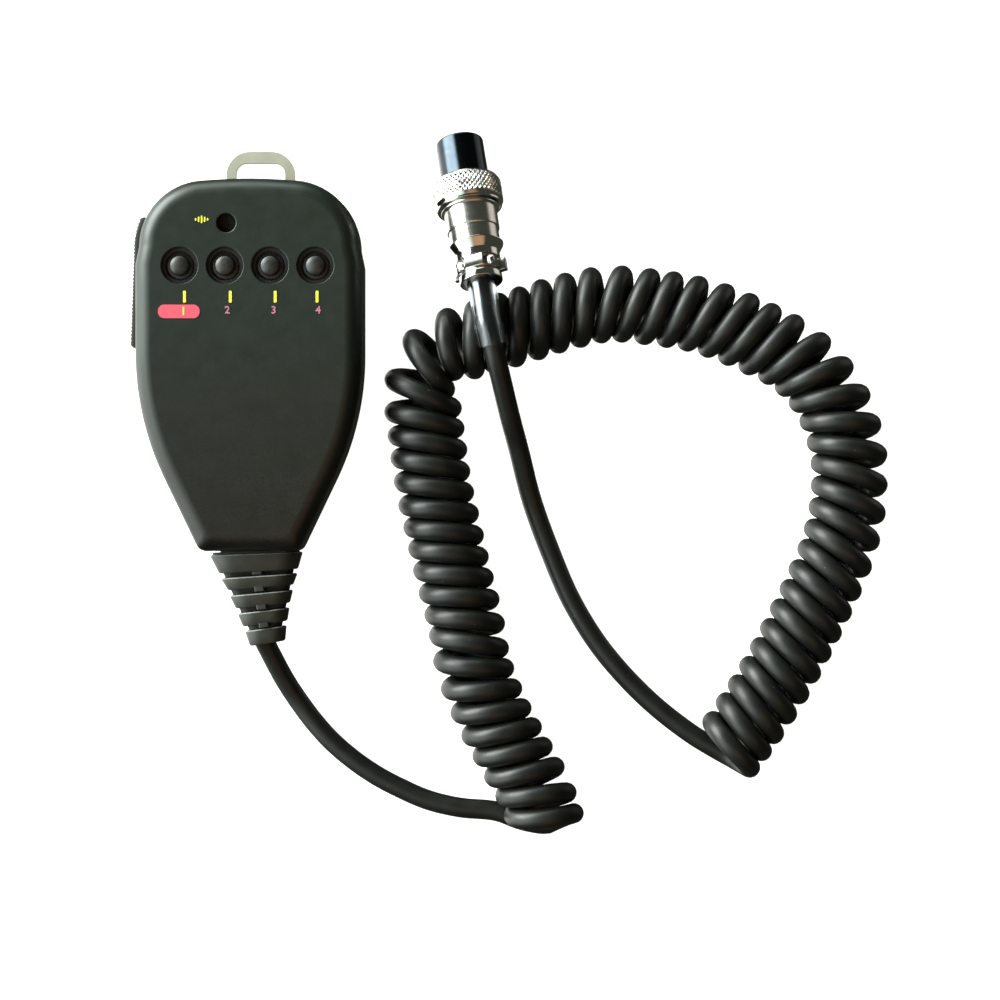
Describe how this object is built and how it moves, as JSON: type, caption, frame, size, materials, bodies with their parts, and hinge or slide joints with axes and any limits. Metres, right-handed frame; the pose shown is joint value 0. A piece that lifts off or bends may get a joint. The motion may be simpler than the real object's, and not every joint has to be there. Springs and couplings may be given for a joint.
{
  "type": "hand microphone",
  "caption": "Hand microphone for a radio with front keys, a side talk bar, a hanger loop, a ribbed strain relief, a coiled cord and a round screw-coupled plug.",
  "frame": {"origin": "on the flat rear face of the case, 50.5 mm above the foot, at the middle of the case's width", "axes": "+X to the right of the front face, +Y along the case towards the hanger loop, +Z out of the front face"},
  "size_m": [0.2038, 0.1913, 0.029],
  "materials": {
    "case_plastic": "fine moulded texture, dark green-grey",
    "bar_plastic": "smooth moulded, dark grey",
    "key_plastic": "glossy black",
    "black_plastic": "moulded black",
    "cream_plastic": "moulded cream",
    "relief_rubber": "satin moulded rubber",
    "soft_rubber": "matt silicone",
    "cord_jacket": "satin black jacket",
    "wire_jacket": "thin insulation",
    "clear_tube": "clear flexible tube",
    "felt": "open black felt",
    "hanger_metal": "plated, pale, slightly green",
    "steel": "plated screws and pins",
    "aluminium": "drawn can",
    "brass": "turned and knurled",
    "contact_metal": "plated contacts",
    "chrome": "bright plating",
    "board": "coated laminate"
  },
  "bodies": {
    "case": {"front_shell": "case_plastic", "rear_shell": "case_plastic", "case_screws": "steel", "case_inserts": "brass", "hanger_plate": "hanger_metal", "hanger_screws": "steel", "circuit_board": "board", "board_parts": "black_plastic", "board_header": "cream_plastic", "header_plug": "cream_plastic", "board_screws": "steel", "cord_wires": "wire_jacket", "cord_inner": "cord_jacket", "cable_clamp": "steel", "clamp_screws": "steel", "mic_capsule": "aluminium", "mic_grommet": "soft_rubber", "mic_felt": "felt", "dome_1": "soft_rubber", "dome_2": "soft_rubber", "dome_3": "soft_rubber", "dome_4": "soft_rubber", "ptt_pin": "steel", "ptt_switch": "black_plastic", "strain_relief": "relief_rubber", "cord_lead_mic": "cord_jacket", "cord_coil": "cord_jacket", "cord_lead_plug": "cord_jacket", "clear_sleeve": "clear_tube", "plug_nose": "chrome", "plug_insert": "black_plastic", "plug_contacts": "contact_metal", "plug_barrel": "chrome", "plug_set_screw": "steel", "plug_tail": "chrome", "plug_saddle": "chrome", "plug_saddle_screws": "steel"},
    "key_1": {"key_1": "key_plastic"},
    "key_2": {"key_2": "key_plastic"},
    "key_3": {"key_3": "key_plastic"},
    "key_4": {"key_4": "key_plastic"},
    "talk_bar": {"ptt_bar": "bar_plastic"},
    "talk_plunger": {"ptt_plunger": "cream_plastic"},
    "coupling_nut": {"coupling_nut": "chrome"}
  },
  "joints": [
    {"name": "key_1_press", "type": "slide", "parent": "case", "child": "key_1", "axis": [0, 0, -1], "range_m": [0, 0.0008], "stiffness_N_per_m": 800, "springref_m": -0.0006, "deforming": ["dome_1"]},
    {"name": "key_2_press", "type": "slide", "parent": "case", "child": "key_2", "axis": [0, 0, -1], "range_m": [0, 0.0008], "stiffness_N_per_m": 800, "springref_m": -0.0006, "deforming": ["dome_2"]},
    {"name": "key_3_press", "type": "slide", "parent": "case", "child": "key_3", "axis": [0, 0, -1], "range_m": [0, 0.0008], "stiffness_N_per_m": 800, "springref_m": -0.0006, "deforming": ["dome_3"]},
    {"name": "key_4_press", "type": "slide", "parent": "case", "child": "key_4", "axis": [0, 0, -1], "range_m": [0, 0.0008], "stiffness_N_per_m": 800, "springref_m": -0.0006, "deforming": ["dome_4"]},
    {"name": "talk_bar_turn", "type": "hinge", "parent": "case", "child": "talk_bar", "pos_m": [-0.0255, 0.0365, 0.012], "axis": [0, 0, 1], "range_deg": [0, 3.2], "stiffness_Nm_per_rad": 1, "springref_deg": -2.86},
    {"name": "talk_plunger_press", "type": "slide", "parent": "case", "child": "talk_plunger", "axis": [1, 0, 0], "range_m": [0, 0.0014]},
    {"name": "coupling_nut_spin", "type": "hinge", "parent": "case", "child": "coupling_nut", "pos_m": [0.05827, 0.04559, 0.01169], "axis": [-0.1449, 0.9254, -0.3502], "continuous": true}
  ],
  "couplings": [
    {"joint": "talk_plunger_press", "follows": "talk_bar_turn", "m_per_rad": 0.0245}
  ]
}
